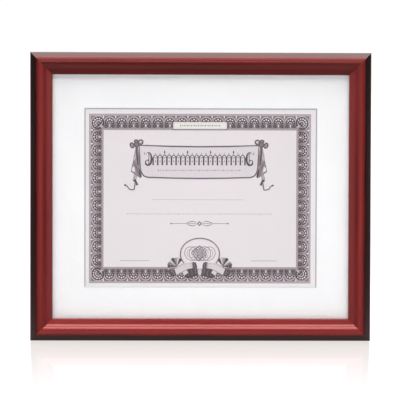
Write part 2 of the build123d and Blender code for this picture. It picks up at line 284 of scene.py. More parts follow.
def addRail(node, corner, along, inwards, length, materials, m):
    # Along and inwards are the rail's own directions on the face, corner is its outer corner.
    section = mouldingSection(m)
    count = len(section)
    groove = drawnIn(section, m["mitreGroove"])
    stations = [(i / m["stations"], m["mitreGrooveWidth"], section) for i in range(m["stations"] + 1)]
    rings = [(0.0, 0.0, groove)] + stations + [(1.0, 0.0, groove)]
    vertices, grain, edge = [], [], []
    for share, back, outline in rings:
        for u, forward in outline:
            margin = u + back
            x = margin + (length - 2 * margin) * share
            vertices.append(corner + along * (x * mm) + inwards * (u * mm) + faceOut * (forward * mm))
            grain += [x * mm, u * mm, forward * mm]
            edge.append(u)
    faces = []
    inRebate = [i == count - 1 or (forward <= m["rebate"] and u >= m["face"] - m["lip"] - m["slack"])
                for i, (u, forward) in enumerate(section)]
    for ring in range(len(rings) - 1):
        faces += ringFaces(ring * count, count)
    finishes = [int(bare) for bare in inRebate] * (len(rings) - 1) + [1, 1]
    faces += [tuple(reversed(range(count))), tuple(range(len(vertices) - count, len(vertices)))]
    piece = addObject(node + "_moulding", vertices, faces, materials, finishes)
    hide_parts(node)
    mesh = piece.data
    mesh.attributes.new("grain", "FLOAT_VECTOR", "POINT").data.foreach_set("vector", grain)
    mesh.attributes.new("edgeDistance", "FLOAT", "POINT").data.foreach_set("value", edge)
    mesh.polygons.foreach_set("use_smooth", [True] * len(faces))
    mesh.set_sharp_from_angle(angle=m["sharpFrom"])


# In the finishes a noise is its stretch, scale, detail, roughness and distortion,
# a mix is as in mottle, and a relief is a strength and a height in metres.
lacquer = {
    "deep": (0.208, 0.0160, 0.0160),
    "bright": (0.292, 0.0240, 0.0240),
    "burnished": colour(0.014, 0.0040, 0.0038),
    # painted light and shade: how much each rail's colour is scaled on its crown and on its inner slope,
    # standing in for the light falling differently on the four rails, and where between they meet
    "paintedShade": {"rail_top": (0.75, 0.35, 9.0, 14.0), "rail_bottom": (1.02, 0.88, 12.0, 18.0),
             "rail_left": (0.76, 0.60, 13.0, 17.0), "rail_right": (0.76, 0.60, 13.0, 17.0)},
    # mm in from the outer edge where the burnish starts to give way to red, and where it ends
    "burnish": {"rail_top": (5.9, 9.3), "rail_bottom": (6.7, 11.7),
                "rail_left": (7.5, 11.8), "rail_right": (7.5, 11.8)},
    "wanderBy": 1.6,              # mm by which that place wanders
    "specularTint": colour(1.0, 0.52, 0.48),
    "roughness": 0.27,
    "figure": ((5, 150, 90), 1.0, 5, 0.6, 0.6),
    "figureMix": (0.3, 0.7, 1.0),
    "cloud": ((9, 30, 30), 1.0, 2, 0.5),
    "cloudMix": (0.35, 0.65, 0.22),
    "pores": ((30, 2600, 1400), 1.0, 2, 0.5),
    "poresMix": (0.6, 0.72, 0.45),
    "wander": ((14, 60, 60), 1.0, 2, 0.5),
    "relief": (0.04, 0.0004),
}


def mahoganyLacquer(f, node):
    material, tree, shader = newMaterial(node + "_lacquer", Roughness=f["roughness"],
                                         Specular_Tint=f["specularTint"])
    grain = addNode(tree, "Attribute", attribute_name="grain").outputs["Vector"]
    edge = addNode(tree, "Attribute", attribute_name="edgeDistance").outputs["Fac"]
    # painted light and shade across the section, from the crown to the inner slope
    onCrown, onSlope, meetFrom, meetTo = f["paintedShade"][node]
    inward = mapRange(tree, edge, meetFrom, meetTo, 0.0, 1.0, "SMOOTHSTEP")
    deep, bright = (mixColour(tree, inward, scaledColour(f[key], onCrown), scaledColour(f[key], onSlope))
                    for key in ("deep", "bright"))
    figure, cloud, pores, wander = (scaledNoise(tree, grain, *f[key])
                                    for key in ("figure", "cloud", "pores", "wander"))
    wood = mottle(tree, figure, f["figureMix"], deep, bright)
    wood = mottle(tree, cloud, f["cloudMix"], wood, deep)
    wood = mottle(tree, pores, f["poresMix"], wood, f["burnished"])
    inputs = {0: wander, 1: f["wanderBy"], 2: edge}
    wandering = addNode(tree, "Math", inputs, operation="MULTIPLY_ADD").outputs[0]
    kept = mapRange(tree, wandering, *f["burnish"][node], 0.0, 1.0, "SMOOTHSTEP")
    feed(tree, shader.inputs["Base Color"], mixColour(tree, kept, f["burnished"], wood))
    addBump(tree, shader, figure, *f["relief"])
    return material


rawWood = {
    "pale": colour(0.33, 0.17, 0.10),
    "dark": colour(0.17, 0.075, 0.045),
    "roughness": 0.62,
    "fibres": ((8, 420, 420), 1.0, 6, 0.65, 0.4),
    "fibresMix": (0.32, 0.68, 1.0),
    "specks": ((60, 2400, 2400), 1.0, 2, 0.5),
    "specksMix": (0.62, 0.75, 0.5),
    "relief": (0.25, 0.0003),
}


def stainedWood(f):
    material, tree, shader = newMaterial("stained_wood", Roughness=f["roughness"])
    grain = addNode(tree, "Attribute", attribute_name="grain").outputs["Vector"]
    fibres = scaledNoise(tree, grain, *f["fibres"])
    base = mottle(tree, fibres, f["fibresMix"], f["pale"], f["dark"])
    specks = scaledNoise(tree, grain, *f["specks"])
    feed(tree, shader.inputs["Base Color"], mottle(tree, specks, f["specksMix"], base, f["dark"]))
    addBump(tree, shader, fibres, *f["relief"])
    return material


bareWood = stainedWood(rawWood)
for node, corner, along, inwards, length in (
        ("rail_bottom", place(-halfWidth, 0, 0), acrossX, upAlong, frameWidth),
        ("rail_top", place(halfWidth, 0, frameHeight), -acrossX, -upAlong, frameWidth),
        ("rail_left", place(-halfWidth, 0, frameHeight), -upAlong, acrossX, frameHeight),
        ("rail_right", place(halfWidth, 0, 0), upAlong, -acrossX, frameHeight)):
    addRail(node, corner, along, inwards, length, [mahoganyLacquer(lacquer, node), bareWood], moulding)
print("rails made")


def dress(node, material):
    slots = cad[node].data.materials
    slots.clear()
    slots.append(material)


package = {                       # the boards and the glass in the rebate, in mm
    "width": 358.5,
    "height": 297.0,
    "middleUp": 168.5,
}
windowMat = {
    "back": 6.0,
    "front": 7.5,
    "windowWidth": 274.4,
    "windowHeight": 211.9,
    "cutSlope": radians(45),
    "face": {"roughness": 0.85, "noise": (even, 24.0, 2, 0.5), "mix": (0.3, 0.7, 1.0)},
    "pale": colour(0.865, 0.866, 0.878),
    "shaded": colour(0.85, 0.851, 0.865),
    "cut": {"roughness": 0.9, "noise": (even, 1500.0, 4, 0.6), "mix": (0.35, 0.65, 1.0),
            "relief": (0.15, 0.00005)},
    "cutSpread": 0.05,
    # the cut's core colour is darkened as painted shade on the top and side cuts, which face away from the
    # light
    "core": (0.445, 0.44, 0.45),
    "paintedLightCore": (0.60, 0.62, 0.615),   # painted light: the lower cut is made lighter as it faces up
}


def matCore(name, core, m):
    pale, dark = (scaledColour(core, 1 + side * m["cutSpread"]) for side in (1, -1))
    return mottledMaterial(name, m["cut"], pale, dark)[0]


def addMat(m, p):
    # the front is face paper, the window's bevel shows the board's core, with painted shade on the top and
    # side cuts and painted light on the lower one
    lean = (m["front"] - m["back"]) / tan(m["cutSlope"])
    wide, high = m["windowWidth"] / 2, m["windowHeight"] / 2
    outer = (p["width"] / 2, p["height"] / 2)
    rings = [(*outer, m["back"]), (*outer, m["front"]), (wide, high, m["front"]),
             (wide - lean, high - lean, m["back"])]
    vertices = [place(x * a, forward, p["middleUp"] + b * up)
                for x, up, forward in rings for a, b in fourCorners]
    faces, parts = [], []
    for ring in range(4):
        for i in range(4):
            j = (i + 1) % 4
            one, two = ring * 4, (ring + 1) % 4 * 4
            faces.append((one + i, one + j, two + j, two + i))
            # the lower cut takes the painted-light core, the others the painted-shade one
            parts.append(0 if ring in (1, 3) else 2 if i == 0 else 1)
    face = mottledMaterial("mat_board", m["face"], m["pale"], m["shaded"])[0]
    materials = [face, matCore("mat_core_painted_shade", m["core"], m), matCore("mat_core_painted_light", m["paintedLightCore"], m)]
    piece = addObject("mat", vertices, faces, materials, parts)
    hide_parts("window_mat")


addMat(windowMat, package)

paper = {
    "roughness": 0.7,
    "noise": (even, 60.0, 4, 0.6),
    "mix": (0.3, 0.7, 1.0),
    # the sheet is lighter than the field ink printed inside the border: painted light that lifts the mat's
    # shadow off the bare margin
    "pale": colour(0.80, 0.752, 0.775),
    "shaded": colour(0.775, 0.728, 0.752),
    "fibres": (even, 1900.0, 3, 0.6),
    "fibreRelief": (0.1, 0.00004),
}


def certificatePaper(f):
    material, tree, shader = mottledMaterial("certificate_paper", f, f["pale"], f["shaded"])[:3]
    addBump(tree, shader, scaledNoise(tree, objectPlace(tree), *f["fibres"]), *f["fibreRelief"])
    return material


dress("certificate_sheet", certificatePaper(paper))

glassPane = {
    "back": 7.5,
    "front": 9.5,
    "groundEdge": 0.25,
    "tint": colour(0.96, 1.0, 0.98),
    "roughness": 0.02,
    "ior": 1.5,
    "mirror": 1.7,                # two faces mirror nearly twice as much as one
}


def pictureGlass(g):
    # clear, with a mirror at its front face that grows towards grazing angles
    material, tree, shader = newMaterial("picture_glass", Metallic=1.0, Roughness=g["roughness"],
                                         Base_Color=g["tint"])
    mirror = addNode(tree, "Fresnel", {"IOR": g["ior"]}).outputs[0]
    inside = addNode(tree, "NewGeometry").outputs["Backfacing"]
    both = maths(tree, "MULTIPLY", mirror, g["mirror"], use_clamp=True)
    feed(tree, shader.inputs["Alpha"], maths(tree, "MULTIPLY", both, maths(tree, "SUBTRACT", 1.0, inside)))
    return material


def addGlass(g, p):
    # the pane with its four long edges ground off
    edge = g["groundEdge"]
    wide, high = p["width"] / 2, p["height"] / 2
    rings = [(edge, g["back"]), (0.0, g["back"] + edge), (0.0, g["front"] - edge), (edge, g["front"])]
    vertices = [place(a * (wide - inwards), forward, p["middleUp"] + b * (high - inwards))
                for inwards, forward in rings for a, b in fourCorners]
    faces = [(0, 1, 2, 3), (15, 14, 13, 12)]
    for ring in range(3):
        faces += ringFaces(ring * 4, 4, turned=True)
    piece = addObject("glass", vertices, faces, [pictureGlass(g)])
    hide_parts("glass_pane")
    piece.visible_shadow = False      # the lamps light the mat through it
    piece.visible_diffuse = False


addGlass(glassPane, package)

# The certificate's print: flat inked shapes a hair above the sheet, in mm from the print's middle
printing = {
    "middle": (-0.88, 167.75),    # across, and up from the frame's bottom edge
    "sheetFront": 6.0,
    "layer": 0.015,
    "shade": 0.92,
    "worn": 0.93,
    "wornGrey": 0.04,
    "gamma": 2.2,
    "finish": {"roughness": 0.62, "noise": (even, 2100.0, 3, 0.6), "mix": (0.35, 0.7, 0.6)},
}
inkShades = {                     # screen values, 0 to 255
    "wash": (178, 167, 173),
    "ground": (126, 110, 117),
    "dark": (66, 50, 57),
    "middle": (150, 138, 144),
    "line": (84, 74, 79),
    "pale": (206, 195, 201),
    "light": (230, 221, 226),
    "cream": (236, 231, 226),
    "fill": (218, 210, 216),
    # the paper's tone inside the border, darker than the sheet so that the bare margin round it carries
    # painted light
    "field": (230, 223, 226),
    "ribbon": (212, 203, 207),
}


def printersInk(name, shade, p):
    full = [(part / 255) ** p["gamma"] * p["shade"] for part in shade]
    worn = [part * p["worn"] + p["wornGrey"] for part in full]
    return mottledMaterial("ink_" + name, p["finish"], colour(*full), colour(*worn))[0]


inkMaterials = {name: printersInk(name, shade, printing) for name, shade in inkShades.items()}


def newPlate(x=0.0):
    return {"x": printing["middle"][0] + x, "vertices": [], "faces": [], "inks": []}


def inkShape(plate, points, ink, layer):
    area = sum(a[0] * b[1] - b[0] * a[1] for a, b in zip(points, points[1:] + points[:1]))
    if area < 0:
        points = points[::-1]
    first = len(plate["vertices"])
    forward = printing["sheetFront"] + printing["layer"] * layer
    plate["vertices"] += [place(plate["x"] + x, forward, printing["middle"][1] + up) for x, up in points]
    plate["faces"].append(tuple(range(first, first + len(points))))
    plate["inks"].append(ink)


def inkLine(plate, points, width, ink, layer, closed=False, pointed=False):
    # a drawn line, thinning to both ends where pointed
    leastShare, leastSize = 0.12, 0.00001
    count = len(points)
    sides = []
    for i, point in enumerate(points):
        before = points[i - 1] if i or closed else point
        after = points[(i + 1) % count] if i < count - 1 or closed else point
        dx, dy = after[0] - before[0], after[1] - before[1]
        size = max((dx * dx + dy * dy) ** 0.5, leastSize)
        half = width / 2 * (max(leastShare, sin(pi * i / (count - 1))) if pointed else 1)
        sides.append(((point[0] - dy / size * half, point[1] + dx / size * half),
                      (point[0] + dy / size * half, point[1] - dx / size * half)))
    for i in range(count if closed else count - 1):
        one, two = sides[i], sides[(i + 1) % count]
        inkShape(plate, [one[0], one[1], two[1], two[0]], ink, layer)


def inkDrawing(plate, drawing, toSheet):
    # A drawing lists outlines, each with its ink and layer. A width after them makes it a line,
    # and one word more makes that line pointed.
    for points, ink, layer, *line in drawing:
        moved = [toSheet(*point) for point in points]
        if line:
            inkLine(plate, moved, line[0], ink, layer, pointed=len(line) > 1)
        else:
            inkShape(plate, moved, ink, layer)


def inkBothSides(plate, drawing):
    for side in (1, -1):
        inkDrawing(plate, drawing, lambda x, up: (side * x, up))


def inkRule(plate, left, right, up, width, ink, layer):
    inkLine(plate, [(left, up), (right, up)], width, ink, layer)


def inkBox(plate, x, up, wide, tall, ink, layer):
    inkShape(plate, [(x + a * wide, up + b * tall) for a, b in fourCorners], ink, layer)


def inkDiamond(plate, x, up, wide, tall, ink, layer):
    inkShape(plate, [(x - wide, up), (x, up - tall), (x + wide, up), (x, up + tall)], ink, layer)


def inkLozenges(plate, row, ink, layer):
    # sizes are the half sizes of every so many lozenges, and of the others
    left, right = row["ends"]
    for i in range(row["count"]):
        x = left + (right - left) * i / (row["count"] - 1)
        wide, tall = row["sizes"][0 if i % row["every"] == 0 else 1]
        inkDiamond(plate, x, row["up"], wide, tall, ink, layer)


def oval(x, up, radiusX, radiusUp, turn=0.0, count=20):
    points = []
    for i in range(count):
        a = 2 * pi * i / count
        px, py = radiusX * cos(a), radiusUp * sin(a)
        points.append((x + px * cos(turn) - py * sin(turn), up + px * sin(turn) + py * cos(turn)))
    return points


def bow(x, up, radius, fromAngle, toAngle, count=14):
    # an open arc, angles in degrees
    turns = [radians(fromAngle + (toAngle - fromAngle) * i / count) for i in range(count + 1)]
    return [(x + radius * cos(turn), up + radius * sin(turn)) for turn in turns]


def crescent(x, up, outer, inner, shift, fromAngle, toAngle, count=12):
    return (bow(x, up, outer, fromAngle, toAngle, count)
            + bow(x, up - shift, inner, fromAngle, toAngle, count)[::-1])


def flowing(points, steps=6):
    # a smooth line through the points
    ends = [points[0]] + list(points) + [points[-1]]
    drawn = []
    for stretch in zip(ends, ends[1:], ends[2:], ends[3:]):
        for i in range(steps):
            t = i / steps
            drawn.append(tuple(0.5 * (2 * b + (c - a) * t + (2 * a - 5 * b + 4 * c - d) * t * t
                                      + (3 * b - a - 3 * c + d) * t ** 3) for a, b, c, d in zip(*stretch)))
    return drawn + [points[-1]]


def grown(size, amount):
    return tuple(part + amount for part in size)


def inkBand(plate, outer, inner, ink, layer):
    # a rectangular ring between two half sizes
    (a, b), (c, d) = outer, inner
    for (p, q), (r, s) in zip(fourCorners, fourCorners[1:] + fourCorners[:1]):
        inkShape(plate, [(p * a, q * b), (r * a, s * b), (r * c, s * d), (p * c, q * d)], ink, layer)


def finishPlate(plate, name):
    used = sorted(set(plate["inks"]))
    finishes = [used.index(ink) for ink in plate["inks"]]
    inks = [inkMaterials[ink] for ink in used]
    addObject(name, plate["vertices"], plate["faces"], inks, finishes)


# Border: a band of fans that face outward, with a round fan in each corner
borderPrint = {
    "outer": (130.95, 100.05),
    "inner": (113.75, 80.75),
    "fieldLayer": 0.4,
    "outerStrip": 2.6,
    "innerStrip": 1.9,
    "rule": 0.3,
    "outerRules": (0.35, 2.05),   # mm in from the outer edge
    "innerRules": (0.3, 1.4),     # mm out from the inner edge
    "fansAcross": 16,
    "fansUp": 10,
    "drawnPitch": 14.2,           # the size that the fan is drawn at
    "drawnDepth": 18.9,
    "cornerRadius": 7.3,
    "cornerOut": (6.4, 8.3),      # from the inner edge's corner to the round fan's middle
}


def fanDrawing(half):
    # s runs across from -7.1 to 7.1 and t outward from 0 to 18.9
    drawing = [(bow(0, 8.6, 6.6, 6, 174, 16), "pale", 3, 0.8),
               (bow(0, 8.6, 5.85, 2, 178, 16), "ground", 3, 0.3),
               (bow(0, 8.5, 5.4, -14, 194, 18), "dark", 4)]
    for angle, radius in ((90, 1), (47, 0.9), (133, 0.9), (9, 0.55), (171, 0.55)):
        a = radians(angle)
        drawing.append((oval(3.75 * cos(a), 8.6 + 3.75 * sin(a), radius, radius, count=10), "light", 5))
    drawing += [(crescent(0, 7.7, 2.1, 1.5, 0.2, 0, 180), "pale", 5),
                (bow(0, 7, 1, 0, 180, 8), "middle", 6, 0.28),
                ([(0, 7.6), (-0.9, 5.6), (-0.6, 4), (0, 3.2), (0.6, 4), (0.9, 5.6)], "pale", 6)]
    for side in (-1, 1):
        rib = flowing([(side * 7, 13.6), (side * 6.2, 10.4), (side * 6.1, 7.2), (side * 6.6, 3.4)], 4)
        brow = flowing([(side * 6, 13.4), (side * 5, 14.9), (side * 3.2, 15.9)], 4)
        drawing += [(oval(side * 4.3, 4.4, 1.95, 2.2, count=14), "dark", 4),
                    (oval(side * 4.3, 4.2, 0.5, 0.7, count=8), "middle", 5),
                    ([(side * 1.6, 6.6), (side * 2, 4.6), (side * 1.5, 2.7)], "dark", 5, 0.5),
                    (rib, "middle", 5, 0.34), (brow, "dark", 5, 0.3)]
    swag = flowing([(-6.6, 2.9), (-4.4, 2.1), (-2.2, 2.7), (0, 2.3), (2.2, 2.7), (4.4, 2.1), (6.6, 2.9)], 4)
    drawing.append((swag, "pale", 6, 0.28))
    for tip in (half, -half):
        drawing.append(([(tip - 0.95, 16.1), (tip, 16.9), (tip + 0.95, 16.1), (tip, 12.6)], "light", 6))
    return drawing


def cornerDrawing(radius):
    # its own directions run outward, so its diagonal is at 45 degrees
    drawing = [(bow(0, 0, radius + 1, -58, 148, 22), "pale", 3, 0.7),
               (oval(0, 0, radius, radius, count=36), "dark", 4)]
    for i in range(7):
        angle = radians(-45 + i * 30)
        size = 1.1 - 0.1 * abs(i - 3)
        spot = oval((radius - 1.9) * cos(angle), (radius - 1.9) * sin(angle), size, size, count=10)
        drawing.append((spot, "light", 5))
    drawing.append((crescent(-0.4, -0.4, radius - 3.6, radius - 4.7, 0, -60, 150, 18), "pale", 5))
    for reach, turn in ((2.6, 45), (2.4, 0), (2.4, 90)):
        a = radians(turn)
        petal = oval(reach * 0.5 * cos(a) - 0.8, reach * 0.5 * sin(a) - 0.8, reach * 0.5, 0.45, a, 10)
        drawing.append((petal, "middle", 6))
    curl = flowing([(3.4, -4.2), (0.4, -5), (-2.4, -3.6), (-3.8, -5.4), (-6.2, -6.6)], 5)
    stalk = flowing([(-1.4, -1.4), (-3.4, -3), (-5.6, -5)], 5)
    return drawing + [(curl, "pale", 6, 0.8, "pointed"),
                      ([(b, a) for a, b in curl], "pale", 6, 0.8, "pointed"),
                      (stalk, "pale", 6, 0.9, "pointed"),
                      (oval(-5.2, -5.4, 1.7, 1, radians(45), 14), "ground", 5)]


def inkBorder(b):
    plate = newPlate()
    (outerX, outerUp), (innerX, innerUp) = b["outer"], b["inner"]
    inkBox(plate, 0, 0, innerX, innerUp, "field", b["fieldLayer"])
    inkBand(plate, b["outer"], b["inner"], "wash", 1)
    inkBand(plate, grown(b["outer"], -b["outerStrip"]), grown(b["inner"], b["innerStrip"]), "ground", 2)
    for into in b["outerRules"]:
        inkBand(plate, grown(b["outer"], -into), grown(b["outer"], -into - b["rule"]), "middle", 2)
    for out in b["innerRules"]:
        inkBand(plate, grown(b["inner"], out + b["rule"]), grown(b["inner"], out), "ground", 2)
    fan = fanDrawing(b["drawnPitch"] / 2)
    for count, span, reach, depth, turned in ((b["fansAcross"], innerX, innerUp, outerUp - innerUp, False),
                                              (b["fansUp"], innerUp, innerX, outerX - innerX, True)):
        pitch = 2 * span / count
        wide, deep = pitch / b["drawnPitch"], depth / b["drawnDepth"]
        for i in range(count):
            middle = -span + pitch * (i + 0.5)
            for side in (-1, 1):
                def toSheet(s, t):
                    across, out = middle + s * wide, side * (reach + t * deep)
                    return (out, across) if turned else (across, out)
                inkDrawing(plate, fan, toSheet)
    corner = cornerDrawing(b["cornerRadius"])
    outX, outUp = b["cornerOut"]
    for signX in (-1, 1):
        for signUp in (-1, 1):
            def toCorner(x, up):
                return signX * (innerX + outX + x), signUp * (innerUp + outUp + up)
            inkDrawing(plate, corner, toCorner)
    finishPlate(plate, "print_border")


inkBorder(borderPrint)

topPlate = {
    "halfWidth": 31.8,
    "low": 81.9,
    "high": 90.6,
    "corner": 1.8,
    "shadow": 0.5,
    "shadowBelow": 1.1,
    "shadowCorner": 2.2,
    "lineIn": 1.1,
    "lineCorner": 1.2,
    "lineWidth": 0.25,
    "lozenges": {"ends": (-23.0, 23.0), "up": 86.25, "count": 23, "every": 2,
                 "sizes": ((0.8, 1.5), (0.8, 0.8))},
}


def roundedBox(halfWidth, low, high, radius):
    points = []
    for x, up, start in ((halfWidth - radius, high - radius, 0), (radius - halfWidth, high - radius, 90),
                         (radius - halfWidth, low + radius, 180), (halfWidth - radius, low + radius, 270)):
        points += bow(x, up, radius, start, start + 90, 6)
    return points


def inkTopPlate(f):
    plate = newPlate()
    wide, low, high, into = f["halfWidth"], f["low"], f["high"], f["lineIn"]
    shadow = roundedBox(wide + f["shadow"], low - f["shadowBelow"], high + f["shadow"], f["shadowCorner"])
    inkShape(plate, shadow, "dark", 7)
    inkShape(plate, roundedBox(wide, low, high, f["corner"]), "cream", 8)
    line = roundedBox(wide - into, low + into, high - into, f["lineCorner"])
    inkLine(plate, line, f["lineWidth"], "middle", 9, closed=True)
    inkLozenges(plate, f["lozenges"], "middle", 9)
    finishPlate(plate, "print_top_plate")


inkTopPlate(topPlate)

# Banner: a hung scroll tied at both ends with bows and ribbons, a little left of the border's middle
bannerPrint = {
    "x": -1.1,
    # the right half of its outline
    "top": [(0, 61.3), (35, 61.75), (70.6, 62.9)],
    "side": [(69.4, 36.5), (68.2, 31.4), (65.2, 27), (60.6, 25.1)],
    "foot": [(30, 24.25), (0, 23.9)],
    "lineWidth": 1.6,
    # the left ribbon, from its knot down to its curled end
    "ribbon": [
        ([(-75, 61), (-72.8, 61), (-70.6, 46), (-69.6, 37), (-67.4, 25.6), (-69.2, 24.4), (-74.6, 28.4),
          (-80, 31.6), (-79.6, 35.2), (-77.8, 41.2), (-76.9, 46.4), (-76.2, 54)], "middle", 3),
        ([(-76.5, 52.6), (-75.3, 54), (-74.9, 47.6), (-76.6, 44.6)], "pale", 4),
        ([(-74.9, 61), (-71.6, 61), (-70.4, 46.6), (-69.8, 38.4), (-71.6, 37.6), (-73.2, 40.6), (-73.9, 47)],
         "ground", 4),
        ([(-74.6, 60), (-73.6, 60), (-71.9, 45.6), (-71.6, 38.6), (-72.7, 40), (-73.5, 47)], "dark", 5),
        ([(-78.9, 36.6), (-76.6, 38), (-75.4, 31.4), (-79.2, 32.8)], "light", 4),
        ([(-76.7, 45), (-73.6, 41.2), (-72.2, 35.8), (-73.8, 33.6), (-75.2, 37.2), (-77.4, 41)], "ground", 4),
        ([(-72, 37.4), (-69.8, 36.6), (-67.5, 25.7), (-69.2, 24.6), (-71.9, 28.8), (-73, 33)], "ground", 5),
        ([(-70.9, 34.6), (-69.6, 34.2), (-67.7, 25.9), (-69.1, 25), (-70.6, 28.6)], "dark", 6),
        *[([(-76.6 + 0.9 * k, 40.4 - 3 * k), (-73.3 + 0.9 * k, 36.6 - 3.2 * k)], "dark", 6, 0.42)
          for k in range(4)],
        ([(-76.3, 53), (-77, 45.6), (-78.8, 38.6), (-80, 31.8), (-74.6, 28.4), (-69.2, 24.5)],
         "line", 6, 0.75),
        ([(-76.2, 28.8), (-72.8, 27.4), (-74.2, 22.4), (-77.4, 22.4)], "wash", 4),
        ([(-76.3, 28.8), (-77.8, 22.2)], "line", 5, 0.5),
        ([(-72.8, 27.4), (-74.4, 22.6)], "line", 5, 0.4),
        ([(-78.3, 21.4), (-75, 23.3), (-73.4, 20.2), (-71.4, 16), (-74, 15.8), (-75.4, 19)], "dark", 6),
        ([(-76.2, 19.2), (-74.9, 17.2), (-73.2, 15.4), (-74.8, 14.2), (-76.3, 15.8)], "wash", 5),
        (flowing([(-75.6, 18.4), (-76.2, 13.6), (-76.6, 10.9), (-78.4, 10.4), (-82.4, 11.3), (-84.4, 14.3),
                  (-87, 15.8)], 5), "line", 5, 1.35),
        (oval(-87.1, 15.8, 1.5, 1.2, radians(-30), 12), "line", 6),
    ],
    # the bow's loops: middle, radii and turn
    "loops": ((-79, 62.8, 2.9, 3.8, 24), (-74.2, 67.4, 3, 2.5, 0), (-68.8, 66.6, 3.3, 3.4, -20)),
    "knot": (-73.8, 63.6),
}


def bowDrawing(b):
    drawing = []
    for x, up, wide, high, turn in b["loops"]:
        inner = oval(x, up + 0.2, wide - 1.7, high - 1.8, radians(turn))
        drawing += [(oval(x, up, wide, high, radians(turn)), "line", 6),
                    (inner, "pale" if turn < 0 else "middle", 7),
                    (bow(x, up, wide - 0.95, 190 + turn, 330 + turn, 8), "middle", 7, 0.3)]
    x, up = b["knot"]
    drawing += [(oval(x, up, 3.2, 3.3), "line", 8), (oval(x + 0.2, up + 0.4, 2.1, 2), "ground", 9)]
    for turn in (-50, -15, 20, 55):
        fold = 90 - turn * 0.4
        drawing.append((bow(x + turn / 30, up - 2.4, 3.6, fold - 16, fold + 18, 4), "dark", 10, 0.3))
    return drawing


def inkBanner(b):
    plate = newPlate(b["x"])
    half = b["top"] + flowing(b["side"], 5) + b["foot"]
    outline = half + [(-x, up) for x, up in half[1:-1]][::-1]
    inkShape(plate, outline, "fill", 1)
    inkLine(plate, outline, b["lineWidth"], "line", 2, closed=True)
    inkBothSides(plate, b["ribbon"] + bowDrawing(b))
    finishPlate(plate, "print_banner")


inkBanner(bannerPrint)

# In the banner: a row of pointed tracery between two leafy scrolls, over a row of lozenges
traceryPrint = {
    "x": bannerPrint["x"],
    "halfLength": 54.2,           # to the scrolls
    "low": 39.4,
    "high": 51.2,
    "units": 20,
    "stem": 1.7,
    "stemEnds": (1.0, 2.6),       # how far inside low and high
    "arch": ((0.5, -3.2), (0.36, -1.2), (0, 0.7)),      # pitches from its middle, and mm from high
    "archWidth": 1.05,
    "foil": (1.05, 3.6, 1.15),    # aside, down from high, and radius
    "foilWidth": 0.45,
    # lozenges: how far they stand above low, the middle or high, and their half sizes
    "foot": (0.8, 1.25, 1.0),
    "eye": (-1.2, 0.62, 1.3),
    "spire": (2.14, 0.658, 0.675),
    "tallSpire": (3.64, 0.958, 2.55),
    "spireEvery": 5,
    "lozenges": {"ends": (-48.0, 48.0), "up": 33.4, "count": 41, "every": 4,
                 "sizes": ((1.05, 1.2), (0.55, 1.2))},
    # the right scroll and its leaf, from the tracery's end
    "scroll": [(8.6, 51.6), (6.2, 54.6), (3, 52.6), (1.9, 47), (3, 41.4), (6.4, 39.5), (9, 42.2),
               (8, 45.2), (6, 45)],
    "leaf": [(8.6, 51.6), (10.6, 53), (9.4, 55.4)],
}


def scrollDrawing(f):
    start = f["halfLength"]
    body = flowing([(start + x, up) for x, up in f["scroll"]], 6)
    leaf = flowing([(start + x, up) for x, up in f["leaf"]], 5)
    return [(body, "dark", 4, 2.2, "pointed"),
            ([(x + 1.7, up) for x, up in body[8:34]], "line", 4, 0.4),
            ([(start + 5.2, 53.6), (start + 5.2, 40.6)], "line", 4, 0.75),
            (leaf, "line", 4, 0.8, "pointed"),
            (oval(start + 5.9, 45.2, 1, 1, count=12), "dark", 5)]


def inkTracery(f):
    plate = newPlate(f["x"])
    low, high, start = f["low"], f["high"], f["halfLength"]
    pitch = 2 * start / f["units"]
    stemLow, stemHigh = low + f["stemEnds"][0], high - f["stemEnds"][1]
    aside, down, radius = f["foil"]

    def lozenge(x, level, spec, ink, layer):
        up, wide, tall = spec
        inkDiamond(plate, x, level + up, wide, tall, ink, layer)

    for i in range(f["units"] + 1):
        x = -start + pitch * i
        inkBox(plate, x, (stemLow + stemHigh) / 2, f["stem"] / 2, (stemHigh - stemLow) / 2, "dark", 4)
        lozenge(x, low, f["foot"], "dark", 5)
        if i == f["units"]:
            break
        middle = x + pitch / 2
        for side in (-1, 1):
            arch = flowing([(middle - side * pitch * share, high + rise) for share, rise in f["arch"]], 5)
            inkLine(plate, arch, f["archWidth"], "line", 4)
            foil = bow(middle + side * aside, high - down, radius, 90 - side * 90, 90 + side * 100, 7)
            inkLine(plate, foil, f["foilWidth"], "line", 4)
        lozenge(middle, (low + high) / 2, f["eye"], "line", 4)
        lozenge(middle, high, f["tallSpire" if i % f["spireEvery"] == 2 else "spire"], "line", 4)
    inkBothSides(plate, scrollDrawing(f))
    inkLozenges(plate, f["lozenges"], "middle", 4)
    finishPlate(plate, "print_tracery")


inkTracery(traceryPrint)

# Rules across the sheet's lower half: from, to and height
rulesPrint = {
    "nameRule": (-56.5, 52.0, -1.2),
    "nameWidth": 0.32,
    "lozenges": {"ends": (-85.6, 83.4), "up": -18.0, "count": 85, "every": 6,
                 "sizes": ((0.62, 0.95), (0.62, 0.5))},
    "shortRule": (-34.0, 33.2, -29.4),
    "shortWidth": 0.5,
    "gap": 4,                     # each half of the short rule starts this far from its middle
    "bead": 0.9,
    "scroll": ((2.2, 0), (7, 2.6), (13, 1.5), (15.6, 0.5)),
    "scrollWidth": 0.8,
    "jewel": ((3, "line", 2), (1.5, "fill", 3)),
    "signingRules": ((-94.0, -59.8, -73.4), (60.3, 90.9, -73.4)),
    "signingWidth": 0.4,
}


